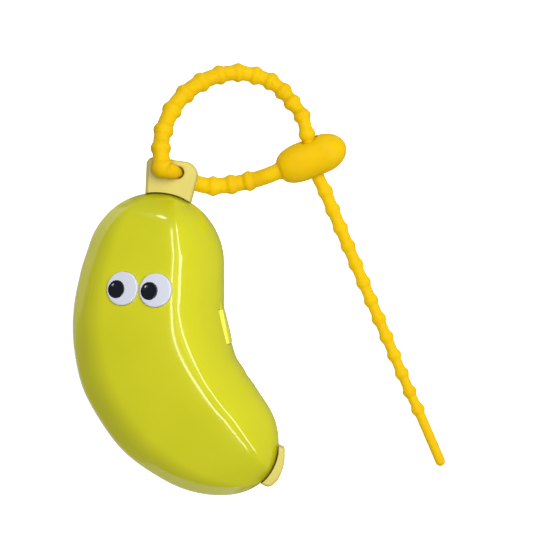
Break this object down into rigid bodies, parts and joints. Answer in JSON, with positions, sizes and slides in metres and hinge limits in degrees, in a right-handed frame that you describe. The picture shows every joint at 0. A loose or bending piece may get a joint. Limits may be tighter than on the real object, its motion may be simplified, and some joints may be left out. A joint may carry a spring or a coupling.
{
  "type": "toothbrush case",
  "caption": "Banana-shaped clamshell case for a toothbrush, with a side hinge, a flip clasp, two eye discs and a beaded strap looped through its stem.",
  "frame": {"origin": "middle of the case without its strap, on the flat face of the back shell that it lies on", "axes": "+Y towards the stem end, +X towards the clasp side, +Z out of the front, away from the table"},
  "size_m": [0.1317, 0.152, 0.038],
  "materials": {
    "shell": "glossy moulded plastic, greenish yellow",
    "fittings": "satin moulded plastic, pale cream yellow",
    "clasp": "glossy moulded plastic, pale yellow",
    "pins": "plain bright wire",
    "eye_white": "glossy white plastic",
    "pupil": "glossy black plastic",
    "strap": "smooth satin silicone rubber, warm yellow"
  },
  "bodies": {
    "root": {"back_shell": "shell", "hinge_pin": "pins", "stem_block": "fittings", "stem_screws": "pins", "tip_cap": "fittings", "tip_screw": "pins", "strap": "strap", "strap_head": "strap"},
    "lid": {"front_shell": "shell", "clasp_pin": "pins", "left_eye_white": "eye_white", "left_pupil": "pupil", "right_eye_white": "eye_white", "right_pupil": "pupil"},
    "clasp": {"clasp": "clasp"}
  },
  "joints": [
    {"name": "lid_hinge", "type": "hinge", "parent": "root", "child": "lid", "pos_m": [-0.03557, -0.00006, 0.0115], "axis": [0, -1, 0], "range_deg": [0, 110]},
    {"name": "clasp_flip", "type": "hinge", "parent": "lid", "child": "clasp", "pos_m": [0.01526, -0.00005, 0.02], "axis": [0.154, -0.9881, 0], "range_deg": [0, 90]}
  ]
}
